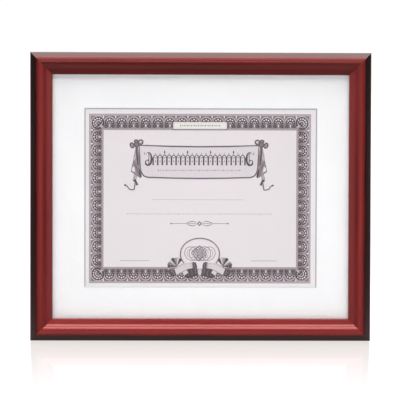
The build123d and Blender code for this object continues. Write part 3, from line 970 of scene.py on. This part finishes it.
def inkRules(f):
    plate = newPlate()
    inkRule(plate, *f["nameRule"], f["nameWidth"], "middle", 1)
    inkLozenges(plate, f["lozenges"], "middle", 1)
    left, right, up = f["shortRule"]
    middle, reach = (left + right) / 2, (right - left) / 2
    for side in (-1, 1):
        inkRule(plate, middle + side * f["gap"], middle + side * reach, up, f["shortWidth"], "line", 1)
        inkShape(plate, oval(middle + side * reach, up, f["bead"], f["bead"], count=12), "line", 2)
        for flip in (1, -1):
            scroll = flowing([(middle + side * x, up + flip * y) for x, y in f["scroll"]], 6)
            inkLine(plate, scroll, f["scrollWidth"], "line", 1, pointed=True)
    for half, ink, layer in f["jewel"]:
        inkDiamond(plate, middle, up, half, half, ink, layer)
    for rule in f["signingRules"]:
        inkRule(plate, *rule, f["signingWidth"], "line", 1)
    finishPlate(plate, "print_rules")


inkRules(rulesPrint)

# Seal: a ring round a woven knot, on two folded ribbons
sealPrint = {
    "middle": (0.2, -65.4),
    "radii": (23.2, 18.7),
    "sides": 64,
    "ringWidth": 1.15,
    "knotRadii": (7.4, 8.3),
    "knotReach": 10.4,
    "knotOvals": 5,
    "knotUp": 0.5,
    "knotTurn": -0.6,             # radians, of the outermost oval
    "knotLoops": ((1.0, 0.75, "ground"), (0.62, 0.55, "middle")),      # share of the radii, and width
    "lattice": 6.4,
    "latticeFrom": (-1, 0.9),     # its middle, from the seal's
    "latticeLines": 6,
    "latticeWidths": (0.9, 0.6),  # outermost, and the others
    "latticeTurns": ((40, "line"), (130, "ground")),
    "innerLine": (1.0, 0.22),     # how far in, and its width
    "rays": (2.6, 1.4, 0.05, 0.18),     # from and to, how far in, then their slant and width
    "button": (0.0, -86.6, 2.4, 4.0),
    "buttonLine": 0.3,
    # the left ribbon: the rosette of folds, then the tails under the flat band, the band and its turned end
    "hub": (-27, -80),
    "folds": 9,
    "foldStart": 52,              # degrees, as is the pitch
    "foldPitch": 19.5,
    "foldSpan": 1.06,             # in pitches
    "foldReach": (9.8, 10.7),
    "foldCrown": 0.8,
    "ribbon": [
        ([(-38.2, -77.2), (-34.6, -76.4), (-30, -83.4), (-27.6, -90.8), (-33.2, -92.4), (-37, -86)],
         "dark", 12),
        (flowing([(-36.6, -78.4), (-34.4, -84), (-31.4, -90.4)], 4), "middle", 13, 0.4),
        (flowing([(-35.2, -77.6), (-32.4, -83.6), (-29.6, -90)], 4), "pale", 13, 0.3),
        ([(-21, -86), (-14.6, -83.2), (-3.4, -81), (-3, -91.2), (-14, -94.2), (-20, -91.2)], "dark", 12),
        *[(flowing([(-19 + 4.2 * k, -86.4 + k), (-17.4 + 4.2 * k, -89.4 + k),
                    (-17.8 + 4.2 * k, -92.4 + 0.6 * k)], 4), "middle", 13, 0.35) for k in range(4)],
        ([(-19.1, -76.2), (-8.2, -74.9), (-7.4, -82.2), (-13.8, -83.2), (-20.4, -86.4), (-27.4, -90.3),
          (-30.2, -82.9)], "ribbon", 14),
        ([(-12.4, -75.3), (-8.2, -74.9), (-7.4, -82.2), (-11.6, -82.8)], "pale", 14.3),
        ([(-9.6, -75), (-8.2, -74.9), (-7.4, -82.2), (-8.8, -82.4)], "middle", 14.6),
        ([(-19.1, -76.2), (-30.2, -82.9), (-27.4, -90.3), (-20.4, -86.4), (-13.8, -83.2), (-7.4, -82.2)],
         "line", 15, 0.4),
        (flowing([(-28.4, -82.9), (-18.4, -77.6), (-8.6, -76.4)], 5), "middle", 15, 0.22),
        ([(-8.4, -74.6), (-4.6, -75.4), (-3.2, -79.4), (-3, -90.6), (-5.4, -91.6), (-6.6, -86),
          (-7.5, -82.2)], "dark", 15),
        (flowing([(-6.6, -76.4), (-5.4, -80.4), (-5, -88.6)], 4), "middle", 16, 0.4),
        ([(-20.6, -86.8), (-15.4, -84.4), (-13.6, -87.6), (-18.6, -91.4)], "ribbon", 15),
        ([(-20.6, -86.8), (-18.6, -91.4), (-13.6, -87.6)], "line", 16, 0.3),
    ],
}


def rosetteDrawing(f):
    # ribbon folded round the hub, each fold a little longer in its middle
    drawing = []
    x, up = f["hub"]
    for i in range(f["folds"]):
        a, b = (radians(f["foldStart"] + f["foldPitch"] * (i + span)) for span in (0, f["foldSpan"]))
        reach = f["foldReach"][i % 2]
        tips = [(x + out * cos(turn), up + out * sin(turn))
                for out, turn in ((reach, a), (reach + f["foldCrown"], (a + b) / 2), (reach, b))]
        drawing += [([f["hub"]] + tips, ("dark", "pale", "middle")[i % 3], 12),
                    ([f["hub"], tips[0]], "dark", 13, 0.22)]
    return drawing


def inkSeal(f):
    plate = newPlate()
    x, up = f["middle"]
    wide, high = f["radii"]
    sides = f["sides"]
    ring = oval(x, up, wide, high, count=sides)
    inkShape(plate, ring, "light", 8)
    inkLine(plate, ring, f["ringWidth"], "line", 9, closed=True)
    into, width = f["innerLine"]
    inkLine(plate, oval(x, up, wide - into, high - into, count=sides), width, "middle", 9, closed=True)
    rayFrom, rayTo, slant, width = f["rays"]
    for i in range(sides):
        a = 2 * pi * i / sides
        ray = [(x + (wide - into) * cos(turn), up + (high - into) * sin(turn))
               for into, turn in ((rayFrom, a), (rayTo, a + slant))]
        inkLine(plate, ray, width, "pale", 9)
    knotWide, knotHigh = f["knotRadii"]
    for i in range(f["knotOvals"]):
        share = 2 * i / (f["knotOvals"] - 1) - 1
        for size, width, ink in f["knotLoops"]:
            loop = oval(x + f["knotReach"] * share, up + f["knotUp"], knotWide * size, knotHigh * size,
                        f["knotTurn"] * share, 30)
            inkLine(plate, loop, width, ink, 9 + i % 2, closed=True)
    reach = f["lattice"]
    fromX, fromUp = f["latticeFrom"]
    for i in range(f["latticeLines"]):
        offset = reach * (2 * i / (f["latticeLines"] - 1) - 1)
        width = f["latticeWidths"][0 if i in (0, f["latticeLines"] - 1) else 1]
        for turn, ink in f["latticeTurns"]:
            a = radians(turn)
            middleX, middleUp = x + fromX - offset * sin(a), up + fromUp + offset * cos(a)
            strand = [(middleX + side * reach * cos(a), middleUp + side * reach * sin(a)) for side in (-1, 1)]
            inkLine(plate, strand, width, ink, 11)
    inkBothSides(plate, rosetteDrawing(f) + f["ribbon"])
    button = oval(*f["button"], count=18)
    inkShape(plate, button, "pale", 12)
    inkLine(plate, button, f["buttonLine"], "line", 13, closed=True)
    finishPlate(plate, "print_seal")


inkSeal(sealPrint)
print("certificate printed")

# Pieces behind: plated sheet and wire, boards with a paper face, rubber
metals = {
    "nickel": {"bright": (0.63, 0.615, 0.585), "dull": (0.58, 0.565, 0.538), "roughness": (0.25, 0.30)},
    "zinc": {"bright": (0.66, 0.67, 0.68), "dull": (0.54, 0.55, 0.57), "roughness": (0.24, 0.38)},
    "steel": {"bright": (0.46, 0.455, 0.45), "dull": (0.30, 0.29, 0.28), "roughness": (0.34, 0.55)},
    "brass": {"bright": (0.72, 0.52, 0.235), "dull": (0.58, 0.40, 0.17), "roughness": (0.18, 0.30)},
}
plating = {
    "cloud": (even, 160.0, 4, 0.6),
    "cloudRange": (0.35, 0.65),
    "drawn": ((1.0, 7.0, 7.0), 900.0, 3, 0.6),
    "marksMix": (0.16, 0.36, 1.0),
    "relief": (0.10, 0.00003),
    "edgeRound": 0.00018,         # shaded on, as the stamped edges are too fine to cut
}


def platedMetal(name, f, p):
    material, tree, shader = newMaterial(name, Metallic=1.0)
    cloud, drawn = (scaledNoise(tree, objectPlace(tree), *p[key]) for key in ("cloud", "drawn"))
    marks = maths(tree, "MULTIPLY", cloud, drawn)
    base = mottle(tree, marks, p["marksMix"], colour(*f["dull"]), colour(*f["bright"]))
    feed(tree, shader.inputs["Base Color"], base)
    feed(tree, shader.inputs["Roughness"], mapRange(tree, cloud, *p["cloudRange"], *f["roughness"]))
    rounded = addNode(tree, "Bevel", {"Radius": p["edgeRound"]}, samples=4).outputs[0]
    addBump(tree, shader, drawn, *p["relief"], Normal=rounded)
    return material


boards = {
    "paper": colour(0.020, 0.020, 0.0225),
    "paperWorn": colour(0.034, 0.033, 0.035),
    "wear": (even, 34.0, 4, 0.6),
    "wearMix": (0.45, 0.75, 1.0),
    "emboss": 850.0,              # grain of the black paper, per metre
    "cut": colour(0.215, 0.125, 0.065),
    "cutDark": colour(0.12, 0.068, 0.036),
    "fibres": (even, 1500.0, 4, 0.65),
    "fibresMix": (0.38, 0.62, 1.0),
    "facing": (0.70, 0.75),       # how square to the broad face the paper ends
    "roughness": (0.85, 0.46),    # of the cut, and of the paper
    "relief": (0.7, 0.0004),
}


def broadFace(node):
    # the direction that the piece's largest face looks in
    return max(cad[node].data.polygons, key=lambda face: face.area).normal.copy()


def paperFacedBoard(f, node):
    # black embossed paper on both faces and brown fibreboard at the cut edges
    material, tree, shader = newMaterial(node + "_faced")
    places = addNode(tree, "TexCoord")
    spot = places.outputs["Object"]
    directions = {0: places.outputs["Normal"], 1: broadFace(node)}
    facing = addNode(tree, "VectorMath", directions, operation="DOT_PRODUCT")
    onFace = mapRange(tree, maths(tree, "ABSOLUTE", facing.outputs["Value"]), *f["facing"], 0.0, 1.0)
    grain = addNode(tree, "TexVoronoi", {"Vector": spot, "Scale": f["emboss"]}, feature="SMOOTH_F1")
    fibres = scaledNoise(tree, spot, *f["fibres"])
    black = mottle(tree, scaledNoise(tree, spot, *f["wear"]), f["wearMix"], f["paper"], f["paperWorn"])
    cut = mottle(tree, fibres, f["fibresMix"], f["cutDark"], f["cut"])
    feed(tree, shader.inputs["Base Color"], mixColour(tree, onFace, cut, black))
    feed(tree, shader.inputs["Roughness"], mapRange(tree, onFace, 0.0, 1.0, *f["roughness"]))
    addBump(tree, shader, mixColour(tree, onFace, fibres, grain.outputs["Distance"]), *f["relief"])
    return material


fillerCard = {
    "pale": colour(0.44, 0.36, 0.265),
    "dark": colour(0.33, 0.26, 0.185),
    "roughness": 0.88,
    "noise": ((1, 1, 3), 900.0, 5, 0.7),
    "mix": (0.35, 0.65, 1.0),
    "relief": (0.2, 0.0001),
}
bumperRubber = {
    "black": colour(0.022, 0.022, 0.023),
    "bloom": colour(0.050, 0.049, 0.048),
    "roughness": 0.6,
    "roughFrom": (0.35, 0.65, 0.50, 0.72),
    "specular": 0.35,
    "noise": (even, 420.0, 4, 0.6),
    "mix": (0.4, 0.7, 1.0),
    "relief": (0.15, 0.0001),
}


def softRubber(f):
    material, tree, shader, bloom = mottledMaterial("bumper_rubber", f, f["black"], f["bloom"],
                                                    Specular_IOR_Level=f["specular"])
    feed(tree, shader.inputs["Roughness"], mapRange(tree, bloom, *f["roughFrom"]))
    return material


metalFinish = {name: platedMetal(name + "_plate", spec, plating) for name, spec in metals.items()}
turnButtons = [node for node in cad if node.startswith("turn_button_") and node != "turn_button_screws"]
hinge = ["hinge_fixed_leaf", "hinge_moving_leaf", "hinge_pin", "fixed_leaf_rivets", "strut_rivets"]
hangers = [node for node in cad if node.startswith("hanger_")]
for metal, nodes in (("nickel", turnButtons + hinge), ("brass", hangers), ("zinc", ["turn_button_screws"])):
    for node in nodes:
        dress(node, metalFinish[metal])
for node in ("back_board", "easel_strut"):
    dress(node, paperFacedBoard(boards, node))
dress("filler_board", mottledMaterial("filler_card", fillerCard, fillerCard["dark"], fillerCard["pale"])[0])
dress("wall_bumpers", softRubber(bumperRubber))


# Bent nails that pin the mitres: their driven edges stand a hair out of the wood
cornerNails = {
    "leg": 4.5,
    "sheet": 0.5,
    "depth": 7.0,
    "proud": 0.06,
    "spread": radians(62),
    "alongMitre": (4.8, 12.0),    # mm in from both edges
    "edgeRound": 0.08,
}


def addNails(f):
    vertices, faces = [], []
    half = f["sheet"] / 2
    rings = [(0.0, f["depth"]), (0.0, f["edgeRound"] - f["proud"]), (f["edgeRound"], -f["proud"])]
    for x0, up0, signX, signUp in ((-halfWidth, 0, 1, 1), (-halfWidth, frameHeight, 1, -1),
                                   (halfWidth, frameHeight, -1, -1), (halfWidth, 0, -1, 1)):
        for reach, side in ((reach, side) for reach in f["alongMitre"] for side in (-1, 1)):
            angle = radians(45) + side * f["spread"]
            along, across = Vector((cos(angle), sin(angle))), Vector((-sin(angle), cos(angle)))
            first = len(vertices)
            for inwards, forward in rings:
                for a, b in ((0, -1), (1, -1), (1, 1), (0, 1)):
                    spot = along * (inwards + a * (f["leg"] - 2 * inwards)) + across * (b * (half - inwards))
                    x, up = x0 + signX * (reach + spot.x), up0 + signUp * (reach + spot.y)
                    vertices.append(place(x, forward, up))
            sides = [(first + 3, first + 2, first + 1, first), tuple(range(first + 8, first + 12))]
            sides += ringFaces(first, 4) + ringFaces(first + 4, 4)
            faces += sides if signX * signUp < 0 else [face[::-1] for face in sides]
    piece = addObject("mitre_nails", vertices, faces, [metalFinish["steel"]])
    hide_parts("corner_nails")


addNails(cornerNails)
print("back dressed")

# Light: angles are from the face's normal, upward and sideways, in degrees, and sizes are in metres
lights = {
    "overhead": {"up": 96, "side": 0, "distance": 1.3, "size": (2.0, 0.70), "radiance": 5.9},
    "upperFront": {"up": 68, "side": 0, "distance": 1.4, "size": (1.8, 0.55), "radiance": 2.3},
    "middleFront": {"up": 42, "side": 0, "distance": 1.5, "size": (1.6, 0.60), "radiance": 3.0,
                    "unseen": True},
    "lowFront": {"up": -8, "side": 0, "distance": 0.8, "size": (0.8, 0.25), "radiance": 2.55,
                 "unseen": True},
    "leftFront": {"up": 2, "side": -19, "distance": 2.0, "size": (0.35, 0.9), "radiance": 2.2},
    "rightFront": {"up": 2, "side": 19, "distance": 2.0, "size": (0.35, 0.9), "radiance": 2.2},
    "backHigh": {"up": 132, "side": 0, "distance": 1.7, "size": (1.8, 0.6), "radiance": 1.6},
    "backLeft": {"up": 12, "side": 160, "distance": 1.8, "size": (0.5, 0.9), "radiance": 0.9},
}
# a strip that lies in the top rail's own plane of sight, so that only the lower parts reflect it
kicker = {
    "from": (0.070, 0.3983),      # metres forward and up
    "to": (1.20, 1.222),
    "length": 1.5,
    "radiance": 8.9,
}


def addLamp(name, middle, size, radiance, away):
    data = bpy.data.lights.new(name, "AREA")
    data.shape = "RECTANGLE"
    data.size, data.size_y = size
    data.energy = radiance * pi * data.size * data.size_y
    lamp = newObject(name, data)
    lamp.location = middle
    lamp.rotation_mode = "QUATERNION"
    lamp.rotation_quaternion = away.to_track_quat("Z", "Y")
    lamp.visible_transmission = False
    lamp.visible_camera = False
    return lamp


for name, spec in lights.items():
    up, side = radians(spec["up"]), radians(spec["side"])
    away = faceOut * cos(up) * cos(side) + upAlong * sin(up) + acrossX * cos(up) * sin(side)
    middle = place(0, 0, frameHeight / 2) + away * spec["distance"]
    lamp = addLamp(name, middle, spec["size"], spec["radiance"], away)
    lamp.visible_glossy = not spec.get("unseen", False)
near, far = (Vector((0, -forward, up)) for forward, up in (kicker["from"], kicker["to"]))
strip = addLamp("kicker", (near + far) / 2, (kicker["length"], (far - near).length), kicker["radiance"],
                (far - near).cross(acrossX))
strip.visible_diffuse = False

studio = {
    "level": 0.08,
    "white": colour(1, 1, 1),
    "behind": (0.35, 0.75),       # how far backward a mirrored ray points as it turns from dark to white
}


def studioWorld(f):
    world = bpy.data.worlds.new("studio")
    world.use_nodes = True
    bpy.context.scene.world = world
    tree = world.node_tree
    path = addNode(tree, "LightPath").outputs
    direction = addNode(tree, "SeparateXYZ", {0: addNode(tree, "TexCoord").outputs["Generated"]})
    behind = mapRange(tree, direction.outputs["Y"], *f["behind"], 0.0, 1.0, "SMOOTHSTEP")
    mirrored = maths(tree, "MAXIMUM", path["Is Glossy Ray"], path["Is Transmission Ray"])
    glossy = maths(tree, "MULTIPLY", mirrored, behind)
    diffuse = maths(tree, "MULTIPLY", maths(tree, "SUBTRACT", 1.0, mirrored), f["level"])
    strength = maths(tree, "MAXIMUM", maths(tree, "MAXIMUM", path["Is Camera Ray"], glossy), diffuse)
    background = tree.nodes["Background"]
    feed(tree, background.inputs["Strength"], strength)
    background.inputs["Color"].default_value = f["white"]


studioWorld(studio)

floorSetup = {
    "reach": 14.0,
    "near": 0.35,                 # metres from the frame where its own light starts to grow
    "far": 1.2,                   # and where it is full
    "ownLight": 0.75,
    # painted warm shade: in front of the frame the floor's own glow is dimmer and pinkish, standing in for
    # its shadow and reflection there
    "paintedWarmShadeFront": colour(0.89, 0.83, 0.817),
    "white": 0.22,                # share of the lamps' light that the camera sees on it
    # in front of the frame the lamps' share is small, so the painted shade there stays flat
    "whiteUnderPaintedShade": 0.06,
    "bounce": 0.78,
    "inGloss": 0.30,
    "frontEdge": 0.01,            # metres over which the front part blends in, and its sides
    "frontSide": 0.03,
    "mirrorDepth": 0.21,          # metres in front over which the reflection fades
    "mirror": 0.16,
    "mirrorTint": colour(2.0, 2.1, 2.1),
    "mirrorRoughness": 0.02,
    "mirrorBehind": 0.5,
    "mirrorNear": 0.28,
    "mirrorFar": 0.55,
    "gloss": 0.36,
    "glossNear": 0.24,
    "glossFar": 0.55,
    "glossShape": (1.0, 0.8, 0.0),
    "behind": (0.2, 0.8),
}


def studioFloor(f):
    reach = f["reach"]
    mesh = bpy.data.meshes.new("floor")
    mesh.from_pydata([(-reach, -reach, 0), (reach, -reach, 0), (reach, reach, 0), (-reach, reach, 0)], [],
                     [(0, 1, 2, 3)])
    floor = newObject("floor", mesh)
    material = bpy.data.materials.new("studio_floor")
    material.use_nodes = True
    tree = material.node_tree
    tree.nodes.clear()
    path = addNode(tree, "LightPath").outputs
    camera, inGloss = path["Is Camera Ray"], path["Is Glossy Ray"]
    spot = objectPlace(tree)
    axes = addNode(tree, "SeparateXYZ", {0: spot}).outputs
    distance = addNode(tree, "VectorMath", {0: spot}, operation="LENGTH").outputs["Value"]

    # the reflection in front of the frame fades towards the viewer, and all round with distance
    edge = lowerBackEdge.y
    inReach = mapRange(tree, distance, f["mirrorNear"], f["mirrorFar"], 1.0, 0.0, "SMOOTHSTEP")
    towardsEdge = mapRange(tree, axes["Y"], edge - f["mirrorDepth"], edge, 0.0, 1.0)
    ramp = maths(tree, "MULTIPLY", towardsEdge, inReach)
    ahead = mapRange(tree, axes["Y"], edge, edge + f["frontEdge"], 1.0, 0.0)
    side = halfWidth * mm
    beside = mapRange(tree, maths(tree, "ABSOLUTE", axes["X"]), side, side + f["frontSide"], 1.0, 0.0,
                      "SMOOTHSTEP")
    front = maths(tree, "MULTIPLY", ahead, beside)

    # what the camera sees of the floor's own light, with a painted warm shade in front of the frame
    own = mapRange(tree, distance, f["near"], f["far"], f["ownLight"], 1.0, "SMOOTHSTEP")
    paintedShadePool = mixColour(tree, ramp, grey(1), f["paintedWarmShadeFront"])
    ownLight = mixColour(tree, front, own, paintedShadePool)
    seen = addNode(tree, "VectorMath", {0: ownLight, 3: camera}, operation="SCALE")

    # gloss shows the white floor close to the frame and behind it, and dark flags further out
    towards = addNode(tree, "VectorMath", {0: spot, 1: f["glossShape"]}, operation="MULTIPLY").outputs[0]
    around = addNode(tree, "VectorMath", {0: towards}, operation="LENGTH").outputs["Value"]
    near = mapRange(tree, around, f["glossNear"], f["glossFar"], f["gloss"], 0.0, "SMOOTHSTEP")
    behind = mapRange(tree, axes["Y"], *f["behind"], 0.0, 1.0, "SMOOTHSTEP")
    mirrored = maths(tree, "MULTIPLY", maths(tree, "MAXIMUM", near, behind), inGloss)
    glow = addNode(tree, "VectorMath", {0: seen.outputs[0], 1: mirrored}, operation="MAXIMUM").outputs[0]

    # the plain white that the lamps light
    bounced = mixColour(tree, inGloss, grey(f["bounce"]), grey(f["inGloss"]))
    onWhite = mixColour(tree, front, grey(f["white"]), grey(f["whiteUnderPaintedShade"]))
    plain = addNode(tree, "BsdfDiffuse", {"Color": mixColour(tree, camera, bounced, onWhite)})
    light = addNode(tree, "Emission", {"Color": glow, "Strength": 1.0})
    white = addNode(tree, "AddShader", {0: plain.outputs[0], 1: light.outputs[0]})

    gloss = addNode(tree, "BsdfGlossy", {"Color": f["mirrorTint"], "Roughness": f["mirrorRoughness"]})
    fade = maths(tree, "MULTIPLY", maths(tree, "MULTIPLY", ramp, f["mirror"]),
                 mapRange(tree, front, 0.0, 1.0, f["mirrorBehind"], 1.0))
    shown = maths(tree, "MULTIPLY", fade, camera)
    mixed = addNode(tree, "MixShader", {0: shown, 1: white.outputs[0], 2: gloss.outputs[0]})
    addNode(tree, "OutputMaterial", {"Surface": mixed.outputs[0]})
    mesh.materials.append(material)


studioFloor(floorSetup)
bpy.context.scene.view_settings.view_transform = "Standard"
print("studio set")
